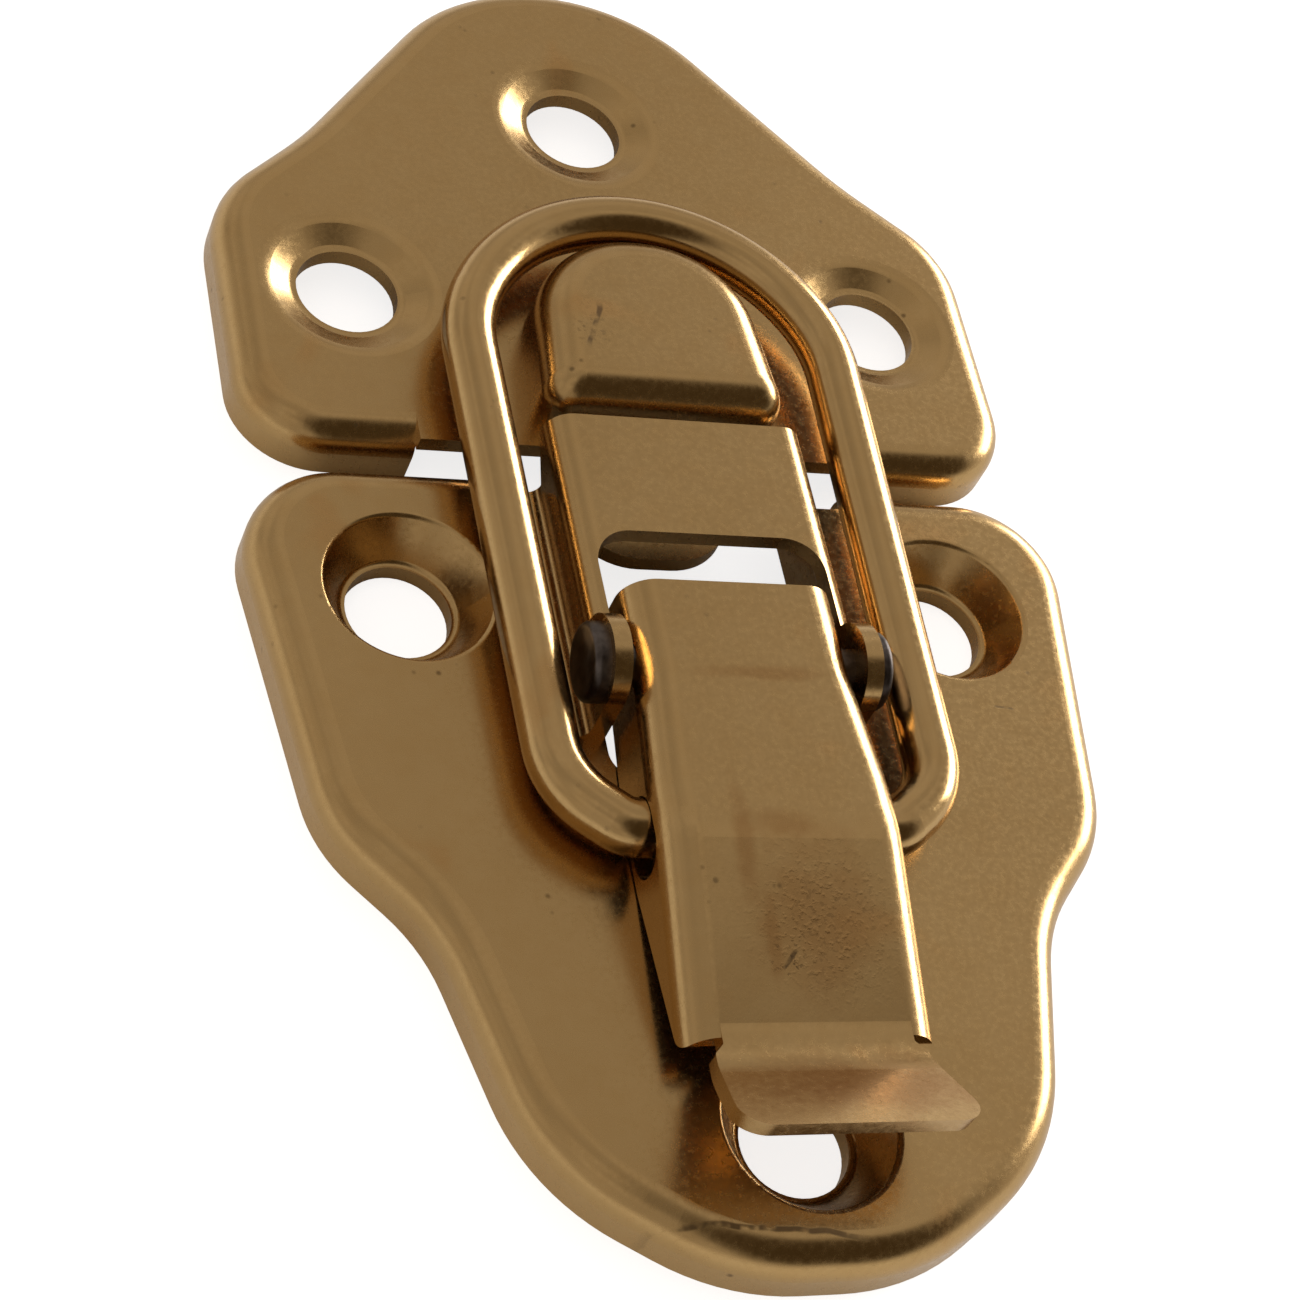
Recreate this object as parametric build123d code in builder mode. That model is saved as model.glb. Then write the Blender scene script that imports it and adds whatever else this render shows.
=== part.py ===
"""Draw catch: a keeper plate, and a base plate whose lever pulls a wire bail over the keeper's nose.

Millimetres. The catch lies on its back: z = 0 is the surface it is screwed to, +Y points from the
lever's finger lip to the keeper, and the origin is in the middle of the catch's length and width.
"""

import os
from math import acos, atan2, cos, degrees, hypot, sin, tan

from build123d import *

os.makedirs("parts", exist_ok=True)

# Sheet and overall sizes
sheet = 0.8
keeper_length = 30.0
base_length = 38.6
plate_gap = 1.4
plate_height = 2.8
rim_radius = 1.5

# Screw holes in their sunken dimples, with each hole's place from the middle and the plate's edge
hole_radius = 2.4
dimple_land = 0.25
keeper_dimple_drop = 0.65
keeper_dimple_width = 1.38
keeper_dimple_blend = 1.5
keeper_dimple_bend = 0.6
base_dimple_width = 1.2
base_dimple_blend = 0.3
base_dimple_bend = 0.3
least_inner_bend = 0.1
keeper_side_hole = (13.2, 8.9)
keeper_lobe_hole = 9.45
base_side_hole = (12.9, 6.7)
base_toe_hole = 6.2

# Outline of the keeper plate
keeper_half_width = 19.1
keeper_shoulder_drop = 15.75
keeper_lobe_width = 4.8
keeper_waist = (14.1, 11.3)
keeper_radii = [10.1, 19.7, 6.0, 4.0]

# Outline of the base plate
base_half_width = 20.3
base_waist_width = 18.1
base_waist = 18.3
base_neck = (14.1, 22.9)
base_tail = (11.4, 4.8)
base_toe_width = 4.1
base_radii = [4.7, 7.1, 8.7, 10.1, 10.7]

# Nose that the bail hooks over, its stem and the tongue below it
nose_height = 3.6
nose_half_width = 5.9
nose_length = 10.05
nose_from_edge = 0.4
nose_taper = 0.9
nose_edge_radius = 1.7
nose_front_corner = 1.2
nose_arch_radius = 5.2
tongue_side_gap = 1.4
tongue_reach = 5.0
tongue_corner_radius = 3.2
tongue_bend_radius = 0.4
notch_side_gap = 2.0

# Bracket: a bridge with two ears, drawn up from the base plate
bracket_half_width = 6.2
bridge_height = 3.1
bridge_overhang = 0.85
bridge_length = 6.35
bridge_edge_radius = 1.2
bridge_corner_radius = 1.8
bridge_front_rise = 0.3
bracket_foot_radius = 0.6
relief_side_gap = 3.0
relief_depth = 1.3
relief_corner_radius = 0.9
opening_end = 16.2
opening_corner_radius = 1.2
ear_radius = 2.1

# Pivot rivets
pivot_from_edge = 12.15
pivot_height = 2.55
rivet_roof_gap = 0.1
rivet_head_radius = 1.75
rivet_head_height = 0.7
rivet_head_edge = 0.3
rivet_reach = 0.1
rivet_end_edge = 0.1
running_clearance = 0.05

# Lever, narrow between the ears and wider behind them
ear_side_gap = 0.45
lever_flare = 0.5
lever_flare_from = 1.0
lever_flare_to = 6.5
lever_spread = 0.25
lever_plan_radius = 12.0
lever_nose = 3.15
lever_top = 1.85
lever_knee = 8.85
lever_root = 18.3
lever_root_drop = 2.3
lever_wall_end = 17.6
lever_tip = 22.75
lever_tip_rise = 2.9
lever_wall_gap = 0.1
lever_wall_lift = 0.9
lever_edge_radius = 1.5
lever_knee_radius = 6.0
lever_root_radius = 3.0
lever_front_corner = 1.4
lever_rear_corner = 0.7
lip_side_step = 0.35
lip_neck = 0.45
lip_corner_radius = 1.2
lip_notch = 0.3

# Bail
wire_radius = 1.25
wire_end_radius = 0.3
bail_eye_back = 7.6
bail_eye_drop = 0.85
bail_eye_slot = 1.0
bail_end_reach = 0.4
bail_side_gap = 0.55
bail_spread = 0.25
bail_elbow_gap = 0.7
bail_elbow_rise = 2.0
bail_elbow_radii = (1.5, 3.8)
bail_arch_height = 8.3
bail_shoulder_radius = 7.2
bail_crest_height = 1.1
bail_slack = 0.15

# Places worked out from the sizes above
overall_length = keeper_length + plate_gap + base_length
keeper_top = overall_length / 2
keeper_edge = keeper_top - keeper_length
base_edge = keeper_edge - plate_gap
base_toe = base_edge - base_length
plate_back = plate_height - sheet
keeper_holes = [
    (0, keeper_top - keeper_lobe_hole),
    (-keeper_side_hole[0], keeper_edge + keeper_side_hole[1]),
    (keeper_side_hole[0], keeper_edge + keeper_side_hole[1]),
]
base_holes = [
    (0, base_toe + base_toe_hole),
    (-base_side_hole[0], base_edge - base_side_hole[1]),
    (base_side_hole[0], base_edge - base_side_hole[1]),
]
nose_front = keeper_edge + nose_from_edge
nose_crest = nose_front + nose_length
nose_top = plate_height + nose_height
bridge_top = plate_height + bridge_height
bridge_front = base_edge + bridge_overhang
bridge_end = bridge_front - bridge_length
relief_edge = base_edge - relief_depth
relief_half_width = bracket_half_width + relief_side_gap
notch_half_width = relief_half_width + notch_side_gap
opening_half_width = bracket_half_width - sheet
tongue_half_width = opening_half_width - tongue_side_gap
pivot_y = base_edge - pivot_from_edge
pivot_z = plate_height + pivot_height
rivet_shank_radius = lever_top - sheet - rivet_roof_gap
lever_half_width = opening_half_width - ear_side_gap
lever_waist_half_width = lever_half_width + lever_flare
lever_end_half_width = lever_waist_half_width + lever_spread
lip_half_width = lever_end_half_width - lip_side_step
lever_top_z = pivot_z + lever_top
lever_low_z = plate_height + lever_wall_gap
lever_front_y = pivot_y + lever_nose
lever_knee_y = pivot_y - lever_knee
lever_root_y = pivot_y - lever_root
lever_root_z = lever_top_z - lever_root_drop
lever_wall_end_y = pivot_y - lever_wall_end
lever_tip_y = pivot_y - lever_tip
lever_tip_z = lever_root_z + lever_tip_rise
eye_y = pivot_y - bail_eye_back
eye_z = pivot_z - bail_eye_drop
lever_lift_y = eye_y - bail_eye_slot - wire_radius
bail_elbow_half_width = bracket_half_width + rivet_head_height + bail_side_gap + wire_radius
bail_half_width = bail_elbow_half_width + bail_spread
crest_y = nose_crest + bail_slack + wire_radius
crest_z = plate_height + wire_radius + bail_crest_height


def keeper_points():
    """Corners of the keeper's right half, from its lobe at the top round to its lower edge."""
    waist_x, waist_drop = keeper_waist
    return [
        (0, keeper_top),
        (keeper_lobe_width, keeper_top),
        (waist_x, keeper_top - waist_drop),
        (keeper_half_width, keeper_top - keeper_shoulder_drop),
        (keeper_half_width, keeper_edge),
        (0, keeper_edge),
    ]


def base_points():
    """Corners of the base's right half, from its upper edge round to its toe."""
    neck_x, neck_drop = base_neck
    tail_x, tail_rise = base_tail
    return [
        (0, base_edge),
        (base_half_width, base_edge),
        (base_waist_width, base_edge - base_waist),
        (neck_x, base_edge - neck_drop),
        (tail_x, base_toe + tail_rise),
        (base_toe_width, base_toe),
        (0, base_toe),
    ]


def parallel(points, distance):
    """Corners of the path that runs beside an open path, on its left, at the given distance."""
    normals = []
    for (x0, y0), (x1, y1) in zip(points, points[1:]):
        length = hypot(x1 - x0, y1 - y0)
        normals.append(((y0 - y1) / length, (x1 - x0) / length))
    before = [normals[0]] + normals
    after = normals + [normals[-1]]
    moved = []
    for (x, y), (ax, ay), (bx, by) in zip(points, before, after):
        reach = distance / (1 + ax * bx + ay * by)
        moved.append((x + (ax + bx) * reach, y + (ay + by) * reach))
    return moved


def block(low, high, mode=Mode.ADD):
    """A box given by its lowest and its highest corner."""
    size = [b - a for a, b in zip(low, high)]
    middle = tuple((a + b) / 2 for a, b in zip(low, high))
    with Locations(middle):
        Box(*size, mode=mode)


def pressed_pan(points, radii):
    """A plate of sheet with its rim turned down all round."""
    with BuildPart() as pan:
        with BuildSketch():
            with BuildLine():
                FilletPolyline(*points, radius=radii)
                mirror(about=Plane.YZ)
            make_face()
        extrude(amount=plate_height)
        fillet(pan.edges().group_by(Axis.Z)[-1], radius=rim_radius)
        offset(amount=-sheet, openings=pan.faces().sort_by(Axis.Z)[0])
    return pan.part


def dimple(drop, top_width, blend, foot_bend):
    """Sunken ring of sheet round a screw hole, and the disc of plate that it takes the place of."""
    floor = plate_height - drop
    foot = hole_radius + dimple_land
    brim = foot + top_width
    half_bend = tan(atan2(drop, top_width) / 2)
    under_blend = max(blend - sheet, least_inner_bend)
    reach = brim + max(blend, sheet + under_blend) * half_bend + 0.05
    top = [
        (hole_radius, floor),
        (foot, floor),
        (brim, plate_height),
        (reach, plate_height),
    ]
    under = parallel(top, -sheet)
    with BuildPart() as ring:
        with BuildSketch(Plane.XZ):
            with BuildLine():
                FilletPolyline(*top, radius=[foot_bend, blend])
                FilletPolyline(*under, radius=[foot_bend + sheet, under_blend])
                Line(top[0], under[0])
                Line(top[-1], under[-1])
            make_face()
        revolve(axis=Axis.Z)
    with BuildPart() as disc:
        Cylinder(reach, plate_height, align=(Align.CENTER, Align.CENTER, Align.MIN))
    return ring.part, disc.part


def lever_plan(inset):
    """Half outline of the lever seen from above, from its front end back, for its outside or inside."""
    return [
        (0, lever_front_y + sheet),
        (lever_half_width - inset, lever_front_y + sheet),
        (lever_half_width - inset, pivot_y - lever_flare_from),
        (lever_waist_half_width - inset, pivot_y - lever_flare_to),
        (lever_end_half_width - inset, lever_tip_y),
        (0, lever_tip_y),
    ]


def along_the_sides(edges):
    """Those of a lever block's edges where its top turns into its sides."""
    return [
        edge
        for edge in edges
        if abs(edge.center().X) > lever_half_width - sheet - 0.01
        and edge.center().Z > lever_root_z - sheet
        and edge.bounding_box().size.Y > edge.bounding_box().size.Z
    ]


keeper_pan = pressed_pan(keeper_points(), keeper_radii)
base_pan = pressed_pan(base_points(), base_radii)
keeper_ring, keeper_disc = dimple(
    keeper_dimple_drop, keeper_dimple_width, keeper_dimple_blend, keeper_dimple_bend
)
base_ring, base_disc = dimple(plate_back, base_dimple_width, base_dimple_blend, base_dimple_bend)

# The nose as a solid block, and as the cap of sheet that is drawn over it
with BuildPart() as nose_block:
    with BuildSketch():
        with BuildLine():
            FilletPolyline(
                (0, nose_front),
                (nose_half_width, nose_front),
                (nose_half_width - nose_taper, nose_crest),
                (0, nose_crest),
                radius=[nose_front_corner, nose_arch_radius],
            )
            mirror(about=Plane.YZ)
        make_face()
    extrude(amount=nose_top)
    fillet(nose_block.edges().group_by(Axis.Z)[-1], radius=nose_edge_radius)

with BuildPart() as nose_cap:
    add(nose_block.part)
    offset(amount=-sheet, openings=nose_cap.faces().sort_by(Axis.Z)[0])
    # Below the plate only the middle of the front wall goes on down, as the stem
    block(
        (-nose_half_width, nose_front + sheet, 0),
        (nose_half_width, nose_crest, plate_back),
        mode=Mode.SUBTRACT,
    )
    for side in (-1, 1):
        x_low, x_high = sorted((side * tongue_half_width, side * nose_half_width))
        block((x_low, nose_front, 0), (x_high, nose_crest, plate_back), mode=Mode.SUBTRACT)
    block(
        (-tongue_half_width, nose_front, 0),
        (tongue_half_width, nose_front + sheet, plate_back),
        mode=Mode.SUBTRACT,
    )

with BuildPart() as tongue:
    with BuildSketch(Plane.YZ):
        with BuildLine():
            back = [
                (nose_front + sheet, plate_back),
                (nose_front + sheet, 0),
                (nose_front - tongue_reach, 0),
            ]
            front = parallel(back, -sheet)
            FilletPolyline(*back, radius=tongue_bend_radius + sheet)
            FilletPolyline(*front, radius=tongue_bend_radius)
            Line(back[0], front[0])
            Line(back[-1], front[-1])
        make_face()
    extrude(amount=tongue_half_width, both=True)
    tip_corners = tongue.edges().filter_by(Axis.Z).group_by(Axis.Y)[0]
    fillet(tip_corners, radius=tongue_corner_radius)

# Keeper plate with its nose and tongue: one pressed sheet
with BuildPart() as keeper_plate:
    add(keeper_pan)
    # Between two cuts the rim is left off, and the sheet stays flat to its edge
    block(
        (-notch_half_width, keeper_edge, plate_back),
        (notch_half_width, keeper_edge + 2 * rim_radius, plate_height),
    )
    block(
        (-notch_half_width, keeper_edge, 0),
        (notch_half_width, keeper_edge + 2 * rim_radius, plate_back),
        mode=Mode.SUBTRACT,
    )
    add(nose_block.part, mode=Mode.SUBTRACT)
    add(nose_cap.part)
    add(tongue.part)
    with Locations(*keeper_holes):
        add(keeper_disc, mode=Mode.SUBTRACT)
        add(keeper_ring)

# Bridge of the bracket with the rounded upper part of its walls
wall_top = bridge_top - bridge_edge_radius
with BuildPart() as bridge:
    with BuildSketch(Plane.XZ.offset(-bridge_front)):
        with BuildLine():
            FilletPolyline(
                (bracket_half_width, wall_top),
                (bracket_half_width, bridge_top),
                (0, bridge_top),
                radius=bridge_edge_radius * 0.99,
            )
            FilletPolyline(
                (opening_half_width, wall_top),
                (opening_half_width, bridge_top - sheet),
                (0, bridge_top - sheet),
                radius=(bridge_edge_radius - sheet) * 0.99,
            )
            Line((opening_half_width, wall_top), (bracket_half_width, wall_top))
            mirror(about=Plane.YZ)
        make_face()
    extrude(amount=bridge_front - pivot_y)
    # Behind its edge the bridge is cut away between the walls
    with BuildSketch(Plane.XY.offset(wall_top)):
        with BuildLine():
            FilletPolyline(
                (0, bridge_end),
                (opening_half_width, bridge_end),
                (opening_half_width, pivot_y),
                (0, pivot_y),
                radius=[bridge_corner_radius, 0],
            )
            mirror(about=Plane.YZ)
        make_face()
    extrude(amount=bridge_edge_radius, mode=Mode.SUBTRACT)

# Walls of the bracket, whose feet spread into the plate, with the round ears at their ends
foot_spread = bracket_half_width + bracket_foot_radius
ear_top = pivot_z + ear_radius
with BuildPart() as walls:
    with BuildSketch(Plane.XZ.offset(-bridge_front)):
        with BuildLine():
            FilletPolyline(
                (foot_spread, plate_height),
                (bracket_half_width, plate_height),
                (bracket_half_width, ear_top),
                radius=bracket_foot_radius * 0.99,
            )
            Line((bracket_half_width, ear_top), (opening_half_width, ear_top))
            Line((opening_half_width, ear_top), (opening_half_width, plate_back))
            Line((opening_half_width, plate_back), (foot_spread, plate_back))
            Line((foot_spread, plate_back), (foot_spread, plate_height))
        make_face()
        mirror(about=Plane.YZ)
    extrude(amount=bridge_front - pivot_y + ear_radius)
    with BuildSketch(Plane.YZ.offset(-foot_spread)):
        with BuildLine():
            Polyline(
                (relief_edge, plate_back),
                (relief_edge, plate_height + bracket_foot_radius),
                (bridge_front, wall_top - bridge_front_rise),
                (bridge_front, wall_top),
                (pivot_y, wall_top),
                (pivot_y, plate_back),
                (relief_edge, plate_back),
            )
        make_face()
        with Locations((pivot_y, pivot_z)):
            Circle(ear_radius)
        with Locations((pivot_y, (pivot_z + plate_back) / 2)):
            Rectangle(2 * ear_radius, pivot_z - plate_back)
    extrude(amount=2 * foot_spread, mode=Mode.INTERSECT)

with BuildPart() as pivot_bore:
    with BuildSketch(Plane.YZ.offset(-foot_spread)):
        with Locations((pivot_y, pivot_z)):
            Circle(rivet_shank_radius)
    extrude(amount=2 * foot_spread)

# Base plate with its bracket: one pressed sheet
with BuildPart() as base_plate:
    add(base_pan)
    # The rim is left off in front of the bracket
    with BuildSketch():
        with BuildLine():
            FilletPolyline(
                (0, base_edge),
                (relief_half_width, base_edge),
                (relief_half_width, relief_edge),
                (0, relief_edge),
                radius=[0, relief_corner_radius],
            )
            mirror(about=Plane.YZ)
        make_face()
    extrude(amount=plate_height, mode=Mode.SUBTRACT)
    # Opening that the bracket was drawn from, and in which the lever's front end turns
    with BuildSketch():
        with BuildLine():
            FilletPolyline(
                (0, relief_edge),
                (opening_half_width, relief_edge),
                (opening_half_width, base_edge - opening_end),
                (0, base_edge - opening_end),
                radius=[0, opening_corner_radius],
            )
            mirror(about=Plane.YZ)
        make_face()
    extrude(amount=plate_height, mode=Mode.SUBTRACT)
    add(walls.part)
    add(bridge.part)
    add(pivot_bore.part, mode=Mode.SUBTRACT)
    with Locations(*base_holes):
        add(base_disc, mode=Mode.SUBTRACT)
        add(base_ring)

# Right rivet: a low head outside the ear, and a shank that ends just inside the lever's wall
pivot_plane = Plane(origin=(0, pivot_y, pivot_z), x_dir=(0, 0, 1), z_dir=(0, 1, 0))
with BuildPart() as right_rivet:
    with BuildSketch(pivot_plane):
        with BuildLine():
            head_face = bracket_half_width + rivet_head_height
            end_face = lever_half_width - sheet - rivet_reach
            FilletPolyline(
                (0, head_face),
                (rivet_head_radius, head_face),
                (rivet_head_radius, bracket_half_width),
                (rivet_shank_radius, bracket_half_width),
                (rivet_shank_radius, end_face),
                (0, end_face),
                radius=[rivet_head_edge, 0, 0, rivet_end_edge],
            )
            Line((0, end_face), (0, head_face))
        make_face()
    revolve(axis=Axis((0, pivot_y, pivot_z), (1, 0, 0)))

with BuildPart() as left_rivet:
    mirror(right_rivet.part, about=Plane.YZ)

# The lever's sheet along its middle: the lip rises from the root to the tip, behind a slope
top_path = [
    (lever_tip_y, lever_tip_z),
    (lever_root_y, lever_root_z),
    (lever_knee_y, lever_top_z),
    (lever_front_y, lever_top_z),
]
under_path = parallel(top_path, -sheet)
slope = (lever_top_z - lever_root_z) / (lever_knee_y - lever_root_y)
wall_end_z = lever_root_z + slope * (lever_wall_end_y - lever_root_y)

with BuildPart() as lever_block:
    with BuildSketch(Plane.YZ.offset(-lever_end_half_width)):
        with BuildLine():
            FilletPolyline(
                (lever_wall_end_y, lever_low_z + lever_wall_lift),
                (lever_wall_end_y, wall_end_z),
                (lever_knee_y, lever_top_z),
                (lever_front_y, lever_top_z),
                (lever_front_y, lever_low_z),
                (lever_lift_y, lever_low_z),
                (lever_wall_end_y, lever_low_z + lever_wall_lift),
                radius=[lever_rear_corner, 0, lever_knee_radius, 0, lever_front_corner, 0],
            )
        make_face()
    extrude(amount=2 * lever_end_half_width)
    with BuildSketch():
        with BuildLine():
            FilletPolyline(*lever_plan(0), radius=[0, lever_plan_radius, lever_plan_radius, 0])
            mirror(about=Plane.YZ)
        make_face()
    extrude(amount=lever_top_z + sheet, mode=Mode.INTERSECT)
    fillet(along_the_sides(lever_block.edges()), radius=lever_edge_radius)

with BuildPart() as lever_inside:
    with BuildSketch(Plane.YZ.offset(-lever_end_half_width)):
        with BuildLine():
            FilletPolyline(
                (under_path[0][0], 0),
                under_path[0],
                under_path[1],
                under_path[2],
                (lever_front_y + sheet, under_path[3][1]),
                (lever_front_y + sheet, 0),
                (under_path[0][0], 0),
                radius=[0, 0, lever_root_radius + sheet, lever_knee_radius - sheet, 0, 0],
            )
        make_face()
    extrude(amount=2 * lever_end_half_width)
    with BuildSketch():
        with BuildLine():
            FilletPolyline(*lever_plan(sheet), radius=[0, lever_plan_radius, lever_plan_radius, 0])
            mirror(about=Plane.YZ)
        make_face()
    extrude(amount=lever_top_z + sheet, mode=Mode.INTERSECT)

with BuildPart() as lip:
    with BuildSketch(Plane.YZ.offset(-lip_half_width)):
        with BuildLine():
            FilletPolyline(*top_path[:3], radius=lever_root_radius)
            FilletPolyline(*under_path[:3], radius=lever_root_radius + sheet)
            Line(top_path[0], under_path[0])
            Line(top_path[2], under_path[2])
        make_face()
    extrude(amount=2 * lip_half_width)
    with BuildSketch(Plane.XY.offset(lever_low_z)):
        with BuildLine():
            neck = lever_end_half_width - lever_edge_radius
            FilletPolyline(
                (0, lever_wall_end_y + sheet),
                (neck, lever_wall_end_y + sheet),
                (neck, lever_wall_end_y - lip_notch),
                (neck + lip_neck, lever_wall_end_y - lip_notch - lip_neck),
                (lip_half_width, lever_tip_y),
                (0, lever_tip_y),
                radius=[0, lip_notch / 2, lip_notch, lip_corner_radius],
            )
            mirror(about=Plane.YZ)
        make_face()
    extrude(amount=lever_tip_z, mode=Mode.INTERSECT)

# Lever: one folded sheet, with holes for the rivets and the bail
with BuildPart() as lever:
    add(lever_block.part)
    add(lever_inside.part, mode=Mode.SUBTRACT)
    add(lip.part)
    with BuildSketch(Plane.YZ.offset(-lever_end_half_width)):
        with Locations((pivot_y, pivot_z)):
            Circle(rivet_shank_radius + running_clearance)
        # The bail pulls its wire against the front of a slot
        with Locations((eye_y - bail_eye_slot / 2, eye_z)):
            SlotCenterToCenter(bail_eye_slot, 2 * (wire_radius + running_clearance))
    extrude(amount=2 * lever_end_half_width, mode=Mode.SUBTRACT)

# Bail: one loop of wire in a plane that rises a little from the eyes to the crest
bail_length = hypot(crest_y - eye_y, crest_z - eye_z)
bail_plane = Plane(
    origin=(0, eye_y, eye_z),
    x_dir=(1, 0, 0),
    z_dir=(0, eye_z - crest_z, crest_y - eye_y),
)
arch_foot = bail_length - bail_arch_height
shoulder_in = bail_half_width - bail_shoulder_radius
crest_rise = bail_arch_height - bail_shoulder_radius
crest_drop = (shoulder_in**2 - crest_rise**2) / (2 * crest_rise)
join_length = hypot(shoulder_in, crest_drop)
shoulder_turn = degrees(atan2(crest_drop, shoulder_in))
bail_end = lever_waist_half_width - sheet - bail_end_reach
elbow_x = lever_waist_half_width + bail_elbow_gap
# The straight arm leaves the elbow's corner at a tangent to the shoulder
arm_x = bail_elbow_half_width - shoulder_in
arm_y = bail_elbow_rise - arch_foot
lean = atan2(arm_y, arm_x) + acos(bail_shoulder_radius / hypot(arm_x, arm_y))
arm_end = (
    shoulder_in + bail_shoulder_radius * cos(lean),
    arch_foot + bail_shoulder_radius * sin(lean),
)
with BuildPart() as bail:
    with BuildLine(bail_plane) as half_wire:
        FilletPolyline(
            (bail_end, 0),
            (elbow_x, 0),
            (bail_elbow_half_width, bail_elbow_rise),
            arm_end,
            radius=bail_elbow_radii,
        )
        CenterArc(
            (shoulder_in, arch_foot),
            bail_shoulder_radius,
            degrees(lean),
            shoulder_turn - degrees(lean),
        )
        CenterArc(
            (0, arch_foot - crest_drop),
            bail_shoulder_radius + join_length,
            shoulder_turn,
            90 - shoulder_turn,
        )
    with BuildSketch(Plane(origin=half_wire.line @ 0, z_dir=half_wire.line % 0)):
        Circle(wire_radius)
    sweep(path=half_wire.line)
    wire_end = bail.faces().filter_by(Plane.YZ).sort_by(Axis.Y)[0]
    fillet(wire_end.edges(), radius=wire_end_radius)
    mirror(about=Plane.YZ)

keeper_plate.part.label = "keeper_plate"
base_plate.part.label = "base_plate"
left_rivet.part.label = "left_rivet"
right_rivet.part.label = "right_rivet"
lever.part.label = "lever"
bail.part.label = "bail"
export_step(keeper_plate.part, "parts/keeper_plate.step")
export_step(base_plate.part, "parts/base_plate.step")
export_step(left_rivet.part, "parts/left_rivet.step")
export_step(right_rivet.part, "parts/right_rivet.step")
export_step(lever.part, "parts/lever.step")
export_step(bail.part, "parts/bail.step")
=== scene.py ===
"""Draw catch on a pale floor: brass-plated plates, lever and bail with dark rivets."""

import bpy
from mathutils import Matrix, Vector

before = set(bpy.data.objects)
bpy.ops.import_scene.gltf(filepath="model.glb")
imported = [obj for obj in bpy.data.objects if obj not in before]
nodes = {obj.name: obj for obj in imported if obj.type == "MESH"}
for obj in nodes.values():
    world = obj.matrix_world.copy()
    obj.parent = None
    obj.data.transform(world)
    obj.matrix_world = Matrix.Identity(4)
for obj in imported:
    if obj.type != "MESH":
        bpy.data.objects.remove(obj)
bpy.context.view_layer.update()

scene = bpy.context.scene
scene.view_settings.view_transform = "Standard"

MM = 0.001
ORIGIN = (0.0, 0.0, 0.0)

# Linear colours of the metals
BRASS = (0.56, 0.37, 0.160)
DARK_SPECK = (0.070, 0.040, 0.020)
STEEL_DARK = (0.060, 0.048, 0.042)
STEEL_PALE = (0.15, 0.125, 0.11)

# Shades of the plating, as shares of its own colour
CLOUD_SHADE = (0.96, 0.95, 0.93)
MOTTLE_SHADE = (0.90, 0.84, 0.74)
TARNISH_SHADE = (0.90, 0.68, 0.48)
# Painted shade: the darker colour of patches that stand in for shadows and dark reflections
PAINTED_SHADE_SHARES = (0.62, 0.44, 0.32)

# Noise and cell scales of the plating, per metre
CLOUD_SCALE = 130.0
MOTTLE_SCALE = 900.0
TARNISH_SCALE = 170.0
SPECK_SCALE = 900.0
SPECK_FIELD_SCALE = 240.0
# Edge noise of the painted shade patches
PAINTED_SHADE_EDGE_SCALE = 600.0
PIT_SCALE = 4200.0
GRAIN_SCALE = 4000.0
SCUFF_WANDER_SCALE = 350.0
SCUFF_BREAK_SCALE = 1300.0
GLOSS_SCALE = 3600.0
LINES_STRETCH = (3800.0, 130.0, 3800.0)

# Heights of the plating's relief, in mm
FINE_RELIEF = 0.0010
COARSE_RELIEF = 0.0012
LINES_RELIEF = 0.0045
MARKS_RELIEF = -0.003

# The studio: directions from the catch, and linear colours of what lies there
DIM_DIRECTION = (0.40, -0.60, 0.69)
BRIGHT_DIRECTION = (0.86, 0.50, 0.10)
OVERHEAD_DIM = (0.38, 0.345, 0.31)
OVERHEAD_LIGHT = (0.53, 0.485, 0.44)
DIM_COLOUR = (0.065, 0.047, 0.027)
HORIZON_COLOUR = (0.90, 0.88, 0.85)
BRIGHT_COLOUR = (1.3, 1.26, 1.2)
WHITE = (1.0, 1.0, 1.0)
FLOOR_COLOUR = (0.86, 0.86, 0.86)
FLOOR_SEEN = 0.80
FLOOR_MIRRORED = 0.28
FLOOR_REACH = 3.0
# Half sizes, in metres, of the painted shadow of the catch in the floor's mirrored glow
PAINTED_SHADOW_OUTLINE = (0.019, 0.034, 1.0)

# The camera, fitted to the photograph
PHOTO_WIDTH = 1300.0
FOCAL_PIXELS = 3140.9
SENSOR_WIDTH = 36.0
CAMERA_PLACE_MM = (-53.42, -79.087, 106.667)
CAMERA_RIGHT = (0.92739, -0.18504, 0.32513)
CAMERA_UP = (-0.03314, 0.82506, 0.56408)


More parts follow.
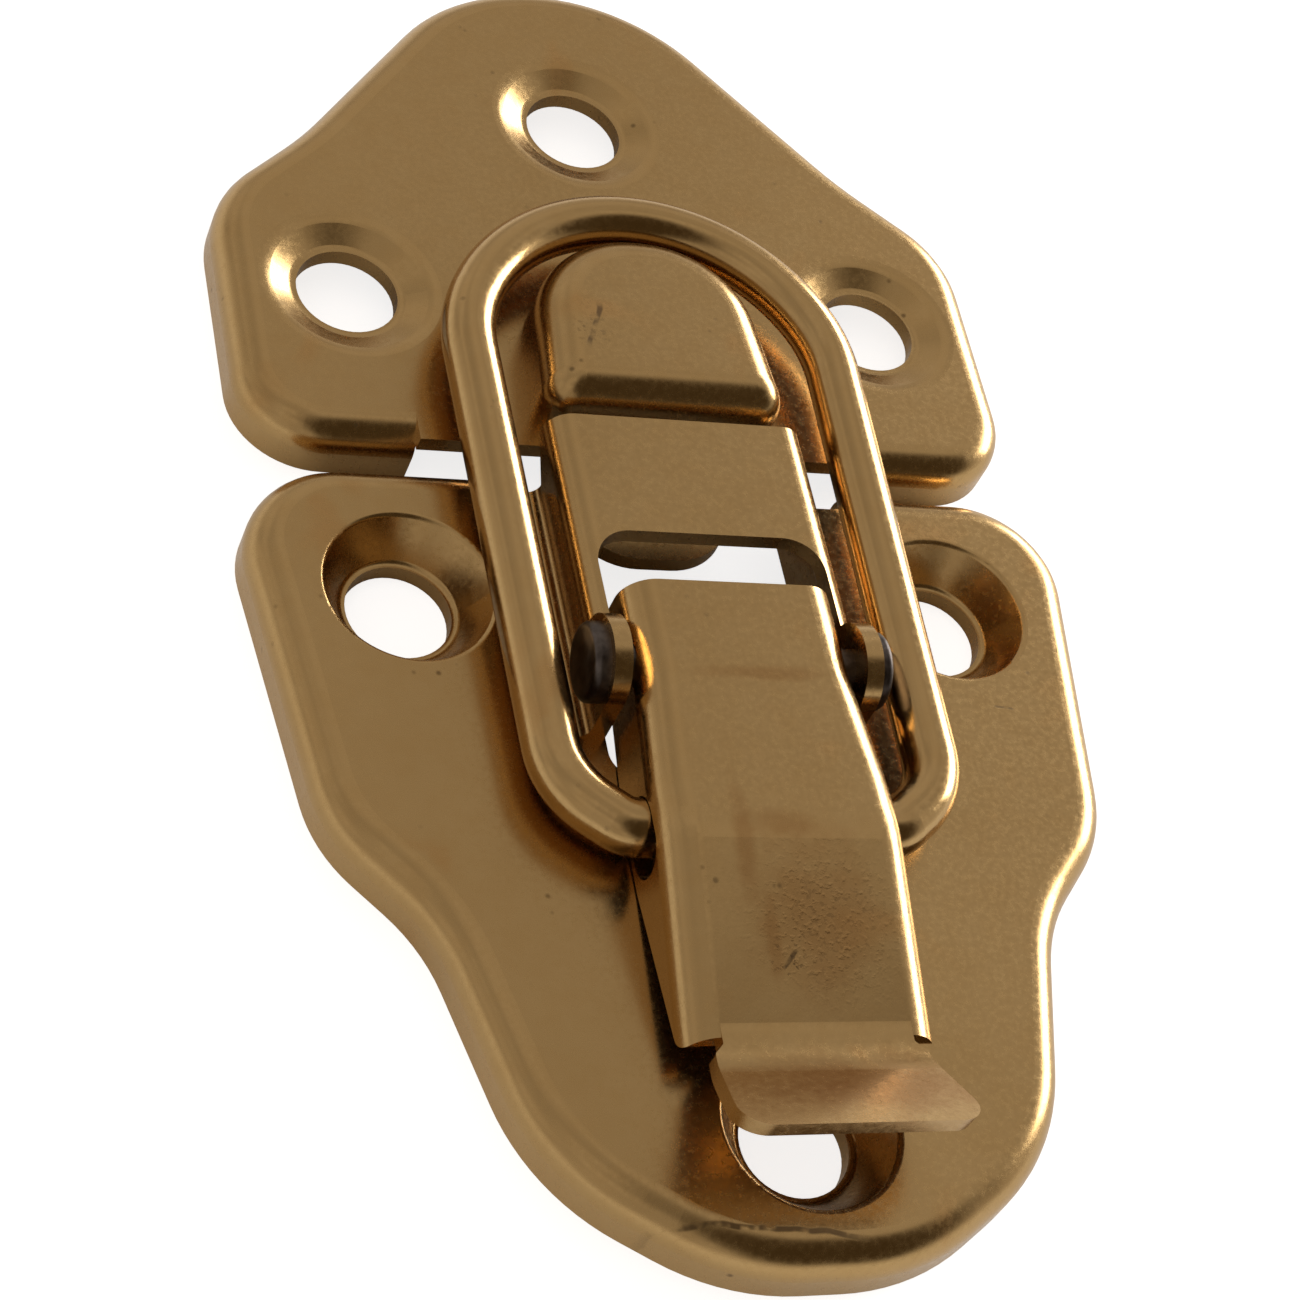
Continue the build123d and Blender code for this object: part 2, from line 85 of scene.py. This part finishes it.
class Graph:
    """Short names for building a material's or a world's nodes."""

    def __init__(self, owner, output):
        owner.use_nodes = True
        self.owner = owner
        self.tree = owner.node_tree
        self.tree.nodes.clear()
        self.out = self.add(output)

    def add(self, kind, **values):
        node = self.tree.nodes.new(kind)
        for key, value in values.items():
            setattr(node, key, value)
        return node

    def link(self, a, b):
        self.tree.links.new(a, b)

    def put(self, socket, value):
        if isinstance(value, (int, float)):
            socket.default_value = value
        elif isinstance(value, tuple):
            socket.default_value = (*value, 1.0) if len(socket.default_value) == 4 else value
        else:
            self.link(value, socket)

    def math(self, operation, a, b=0.0):
        node = self.add("ShaderNodeMath", operation=operation)
        self.put(node.inputs[0], a)
        self.put(node.inputs[1], b)
        return node.outputs[0]

    def plus(self, a, b):
        return self.math("ADD", a, b)

    def times(self, a, b):
        return self.math("MULTIPLY", a, b)

    def vector_math(self, operation, a, b):
        node = self.add("ShaderNodeVectorMath", operation=operation)
        self.put(node.inputs[0], a)
        self.put(node.inputs[1], b)
        return node.outputs["Value" if operation in ("DOT_PRODUCT", "DISTANCE") else "Vector"]

    def dot(self, a, b):
        return self.vector_math("DOT_PRODUCT", a, b)

    def distance(self, a, b):
        return self.vector_math("DISTANCE", a, b)

    def noise(self, coords, scale, detail=3.0, rough=0.5, distortion=0.0):
        node = self.add("ShaderNodeTexNoise")
        node.inputs["Scale"].default_value = scale
        node.inputs["Detail"].default_value = detail
        node.inputs["Roughness"].default_value = rough
        node.inputs["Distortion"].default_value = distortion
        self.link(coords, node.inputs["Vector"])
        return node.outputs["Fac"]

    def wobble(self, coords, scale, width, detail=3.0, rough=0.5):
        """Noise around zero, width being its full swing."""
        return self.times(self.math("SUBTRACT", self.noise(coords, scale, detail, rough), 0.5), width)

    def stretch(self, coords, scale=(1.0, 1.0, 1.0), shift=ORIGIN):
        node = self.add("ShaderNodeMapping")
        node.inputs["Scale"].default_value = scale
        node.inputs["Location"].default_value = shift
        self.link(coords, node.inputs["Vector"])
        return node.outputs[0]

    def ramp(self, value, low, high, to_low=0.0, to_high=1.0):
        node = self.add("ShaderNodeMapRange", interpolation_type="SMOOTHSTEP")
        limits = (("From Min", low), ("From Max", high), ("To Min", to_low), ("To Max", to_high))
        for name, number in limits:
            node.inputs[name].default_value = number
        self.link(value, node.inputs["Value"])
        return node.outputs["Result"]

    def fade(self, value, low, high):
        """One up to low, and down to nothing at high."""
        return self.ramp(value, low, high, 1.0, 0.0)

    def near(self, coords, place, reach):
        """One at a place, and nothing past its reach."""
        return self.fade(self.distance(coords, place), reach * 0.2, reach)

    def mix(self, factor, a, b):
        node = self.add("ShaderNodeMix", data_type="RGBA")
        for socket, value in ((node.inputs[0], factor), (node.inputs[6], a), (node.inputs[7], b)):
            self.put(socket, value)
        return node.outputs[2]

    def bump(self, height, distance, normal=None):
        node = self.add("ShaderNodeBump")
        node.inputs["Distance"].default_value = distance
        self.link(height, node.inputs["Height"])
        if normal is not None:
            self.link(normal, node.inputs["Normal"])
        return node.outputs[0]


def metal_graph(name):
    g = Graph(bpy.data.materials.new(name), "ShaderNodeOutputMaterial")
    coords = g.add("ShaderNodeTexCoord").outputs["Object"]
    shader = g.add("ShaderNodeBsdfPrincipled")
    shader.inputs["Metallic"].default_value = 1.0
    g.link(shader.outputs[0], g.out.inputs["Surface"])
    return g, coords, shader


def shade(shares):
    """A shade of the brass."""
    return tuple(c * k for c, k in zip(BRASS, shares))


def plating(g, coords):
    """The unmarked plating's colour, and where it is tarnished."""
    cloud = g.ramp(g.noise(coords, CLOUD_SCALE), 0.30, 0.70)
    colour = g.mix(cloud, shade(CLOUD_SHADE), BRASS)
    mottle = g.ramp(g.noise(coords, MOTTLE_SCALE, detail=4.0, rough=0.65), 0.35, 0.70)
    colour = g.mix(g.times(mottle, 0.30), colour, shade(MOTTLE_SHADE))
    tarnish = g.ramp(g.noise(coords, TARNISH_SCALE, rough=0.55, distortion=0.4), 0.60, 0.74)
    colour = g.mix(g.times(tarnish, 0.32), colour, shade(TARNISH_SHADE))
    return colour, tarnish


def dark_specks(g, coords, strength):
    """Small dots, gathered in some places."""
    cells = g.add("ShaderNodeTexVoronoi")
    cells.inputs["Scale"].default_value = SPECK_SCALE
    g.link(coords, cells.inputs["Vector"])
    dots = g.fade(cells.outputs["Distance"], 0.04, 0.17)
    field = g.noise(g.stretch(coords, shift=(0.31, 0.17, 0.05)), SPECK_FIELD_SCALE, detail=2.0)
    return g.times(g.times(dots, g.ramp(field, 0.57, 0.66)), 0.7 * strength)


def painted_shade_patch(g, coords, place, size):
    """A patch of painted shade with an uneven edge, size being its half width, length and height."""
    moved = g.vector_math("DIVIDE", g.vector_math("SUBTRACT", coords, place), size)
    edge = g.wobble(coords, PAINTED_SHADE_EDGE_SCALE, width=1.2, rough=0.6)
    return g.fade(g.plus(g.distance(moved, ORIGIN), edge), 0.2, 1.1)


def pit(g, coords, place, reach):
    """A group of tiny dark pits."""
    holes = g.ramp(g.noise(coords, PIT_SCALE, detail=2.0), 0.56, 0.66)
    return g.times(g.near(coords, place, reach), holes)


def scuff(g, coords, place, line, half_width, half_length):
    """A thin broken mark along a line."""
    moved = g.vector_math("SUBTRACT", coords, place)
    across = Vector((-line[1], line[0], 0.0)).normalized()
    line = Vector(line).normalized()
    wander = g.wobble(coords, SCUFF_WANDER_SCALE, width=half_width * 5, detail=2.0)
    off = g.math("ABSOLUTE", g.plus(g.dot(moved, tuple(across)), wander))
    run = g.math("ABSOLUTE", g.dot(moved, tuple(line)))
    inside = g.times(g.fade(off, half_width * 0.4, half_width), g.fade(run, half_length * 0.6, half_length))
    broken = g.ramp(g.noise(coords, SCUFF_BREAK_SCALE, detail=2.0), 0.36, 0.56)
    return g.times(inside, broken)


def brass(name, rough=0.235, along=0.0, wave=0.07, specks=1.0, scuffs=(), pits=(), painted_shade_patches=(), grains=()):
    """Satin plated brass: fine grain, faint clouds, small dark specks, the marks of use and patches of
    painted shade.

    along is the strength of its lengthwise lines, and wave the sheet's unevenness in mm.
    """
    g, coords, shader = metal_graph(name)

    colour, tarnish = plating(g, coords)
    # Patches of painted shade darken the colour where shadows and dark reflections fall
    for place, size, amount in painted_shade_patches:
        colour = g.mix(g.times(painted_shade_patch(g, coords, place, size), amount), colour, shade(PAINTED_SHADE_SHARES))
    marks = dark_specks(g, coords, specks)
    for place, reach, amount in pits:
        marks = g.math("MAXIMUM", marks, g.times(pit(g, coords, place, reach), amount))
    for place, line, half_width, half_length, amount in scuffs:
        mark = scuff(g, coords, place, line, half_width, half_length)
        marks = g.math("MAXIMUM", marks, g.times(mark, amount))
    colour = g.mix(g.times(marks, 0.85), colour, DARK_SPECK)
    g.link(colour, shader.inputs["Base Color"])

    roughness = g.ramp(g.noise(coords, GLOSS_SCALE, rough=0.6), 0.25, 0.75, rough - 0.05, rough + 0.06)
    roughness = g.plus(roughness, g.times(tarnish, 0.05))
    roughness = g.plus(roughness, g.times(marks, 0.25))
    g.link(roughness, shader.inputs["Roughness"])

    normal = g.bump(g.noise(coords, 7000.0, detail=2.0), FINE_RELIEF * MM)
    normal = g.bump(g.noise(coords, 1900.0, rough=0.6), COARSE_RELIEF * MM, normal)
    normal = g.bump(g.noise(coords, 120.0, detail=1.0, rough=0.4), wave * MM, normal)
    if along:
        lines = g.noise(g.stretch(coords, LINES_STRETCH), 1.0, rough=0.6)
        normal = g.bump(lines, LINES_RELIEF * MM * along, normal)
    for place, reach, depth in grains:
        grain = g.ramp(g.noise(coords, GRAIN_SCALE, detail=2.0), 0.50, 0.75)
        normal = g.bump(g.times(g.near(coords, place, reach), grain), depth * MM, normal)
    normal = g.bump(marks, MARKS_RELIEF * MM, normal)
    g.link(normal, shader.inputs["Normal"])
    return g.owner


def dark_steel(name):
    g, coords, shader = metal_graph(name)
    cloud = g.noise(coords, 900.0, detail=4.0, rough=0.6)
    g.link(g.mix(g.ramp(cloud, 0.35, 0.65), STEEL_DARK, STEEL_PALE), shader.inputs["Base Color"])
    g.link(g.ramp(cloud, 0.3, 0.7, 0.34, 0.48), shader.inputs["Roughness"])
    g.link(g.bump(g.noise(coords, 2600.0), 0.008 * MM), shader.inputs["Normal"])
    return g.owner


# Marks and painted shade, in metres: a pit is a place, a reach and an amount, a scuff a place, a direction,
# half its width, half its length and an amount, a painted shade patch a place, half its size and an
# amount, and a grain a place, a reach and a depth in mm
materials = {
    "keeper_plate": brass(
        "keeper_brass",
        pits=[((-0.0034, 0.0090, 0.0064), 0.0014, 0.5)],
        scuffs=[((-0.0034, 0.0094, 0.0064), (0.35, 1.0, 0.0), 0.00018, 0.0016, 0.9)],
    ),
    "base_plate": brass(
        "base_brass",
        scuffs=[
            ((-0.0030, -0.0333, 0.0020), (1.0, -0.10, 0.0), 0.00016, 0.0050, 0.9),
            ((0.0143, -0.0085, 0.0028), (1.0, -0.15, 0.0), 0.00010, 0.0006, 0.8),
        ],
    ),
    "lever": brass(
        "lever_brass",
        rough=0.225,
        along=0.8,
        pits=[((-0.0009, -0.0231, 0.0060), 0.0011, 1.0), ((0.0014, -0.0218, 0.0061), 0.0042, 0.28)],
        scuffs=[((-0.0008, -0.0231, 0.0060), (0.8, 1.0, 0.0), 0.00012, 0.0006, 0.9)],
        # Painted shade on the lever: dark reflections across the knee and slope, a soft shadowed crease
        # behind the front edge, and the dark lip
        painted_shade_patches=[
            ((0.0004, -0.0101, 0.0072), (0.0036, 0.0005, 0.002), 0.40),
            ((-0.0022, -0.0182, 0.0068), (0.0006, 0.0030, 0.002), 0.42),
            ((-0.0006, -0.0174, 0.0070), (0.0018, 0.0008, 0.002), 0.35),
            ((-0.0014, -0.0220, 0.0060), (0.0004, 0.0032, 0.002), 0.30),
            ((0.0006, -0.0212, 0.0062), (0.0034, 0.0042, 0.006), 0.42),
            ((0.0020, -0.0290, 0.0060), (0.0065, 0.0026, 0.006), 0.60),
        ],
        grains=[((0.0012, -0.0212, 0.0062), 0.0052, 0.005)],
    ),
    "bail": brass(
        "bail_brass",
        rough=0.19,
        wave=0.02,
        specks=0.5,
        pits=[((-0.0088, 0.0045, 0.0057), 0.0007, 0.9), ((-0.0100, -0.0036, 0.0060), 0.0006, 0.8)],
    ),
}
materials["left_rivet"] = materials["right_rivet"] = dark_steel("rivet_steel")

for name, material in materials.items():
    node = nodes[name]
    node.data.materials.clear()
    node.data.materials.append(material)


def floor_material():
    """A pale floor that the camera sees as white and the metal mirrors less brightly, with a painted shadow
    of the catch in what the metal mirrors.
    """
    g = Graph(bpy.data.materials.new("floor_white"), "ShaderNodeOutputMaterial")
    diffuse = g.add("ShaderNodeBsdfDiffuse")
    g.put(diffuse.inputs["Color"], FLOOR_COLOUR)
    glow = g.add("ShaderNodeEmission")
    path = g.add("ShaderNodeLightPath")
    seen = g.times(path.outputs["Is Camera Ray"], FLOOR_SEEN)
    # Inside the catch's outline the mirrored glow fades out: a painted shadow of the catch on the floor
    coords = g.add("ShaderNodeTexCoord").outputs["Object"]
    outline = g.distance(g.vector_math("DIVIDE", coords, PAINTED_SHADOW_OUTLINE), ORIGIN)
    mirrored = g.times(path.outputs["Is Glossy Ray"], g.ramp(outline, 0.75, 1.05, 0.0, FLOOR_MIRRORED))
    g.link(g.math("MAXIMUM", seen, mirrored), glow.inputs["Strength"])
    both = g.add("ShaderNodeAddShader")
    g.link(diffuse.outputs[0], both.inputs[0])
    g.link(glow.outputs[0], both.inputs[1])
    g.link(both.outputs[0], g.out.inputs["Surface"])
    return g.owner


floor_mesh = bpy.data.meshes.new("floor")
corners = [(x * FLOOR_REACH, y * FLOOR_REACH, 0) for x, y in ((-1, -1), (1, -1), (1, 1), (-1, 1))]
floor_mesh.from_pydata(corners, [], [(0, 1, 2, 3)])
floor_mesh.materials.append(floor_material())
floor = bpy.data.objects.new("floor", floor_mesh)
scene.collection.objects.link(floor)


def studio_world():
    """Slightly warm overhead, a dim patch over the front right, a pale horizon and a bright right side."""
    g = Graph(bpy.data.worlds.new("studio"), "ShaderNodeOutputWorld")
    direction = g.add("ShaderNodeTexCoord").outputs["Generated"]
    height = g.dot(direction, (0.0, 0.0, 1.0))
    front = g.dot(direction, DIM_DIRECTION)
    side = g.dot(direction, BRIGHT_DIRECTION)
    room = g.noise(g.stretch(direction, (1.0, 1.0, 1.6), shift=(0.4, 0.9, 0.2)), 2.6, detail=2.0)
    colour = g.mix(g.ramp(room, 0.35, 0.65), OVERHEAD_DIM, OVERHEAD_LIGHT)
    colour = g.mix(g.ramp(front, 0.70, 0.90), colour, DIM_COLOUR)
    colour = g.mix(g.times(g.fade(height, 0.02, 0.24), 0.50), colour, HORIZON_COLOUR)
    colour = g.mix(g.times(g.ramp(side, 0.87, 0.98), 0.62), colour, BRIGHT_COLOUR)
    path = g.add("ShaderNodeLightPath")
    colour = g.mix(path.outputs["Is Camera Ray"], colour, WHITE)
    back = g.add("ShaderNodeBackground")
    g.link(colour, back.inputs["Color"])
    g.link(back.outputs[0], g.out.inputs["Surface"])
    return g.owner


scene.world = studio_world()


def area_light(name, place, aim, size_x, size_y, power):
    light = bpy.data.lights.new(name, "AREA")
    light.shape = "RECTANGLE"
    light.size = size_x
    light.size_y = size_y
    light.energy = power
    holder = bpy.data.objects.new(name, light)
    holder.location = place
    holder.rotation_euler = (Vector(aim) - Vector(place)).to_track_quat("-Z", "Y").to_euler()
    scene.collection.objects.link(holder)


area_light(
    "softbox_right",
    place=(0.49, 0.235, 0.14),
    aim=(0, 0, 0.005),
    size_x=0.46,
    size_y=0.24,
    power=2.8,
)

camera_data = bpy.data.cameras.new("camera")
camera_data.sensor_width = SENSOR_WIDTH
camera_data.sensor_fit = "HORIZONTAL"
camera_data.lens = FOCAL_PIXELS / PHOTO_WIDTH * SENSOR_WIDTH
camera_data.clip_start = 0.01
camera_data.clip_end = 20.0
camera = bpy.data.objects.new("camera", camera_data)
right = Vector(CAMERA_RIGHT).normalized()
up = Vector(CAMERA_UP).normalized()
backward = right.cross(up).normalized()
up = backward.cross(right)
turn = Matrix((right, up, backward)).transposed()
camera.matrix_world = Matrix.Translation(Vector(CAMERA_PLACE_MM) * MM) @ turn.to_4x4()
scene.collection.objects.link(camera)
scene.camera = camera
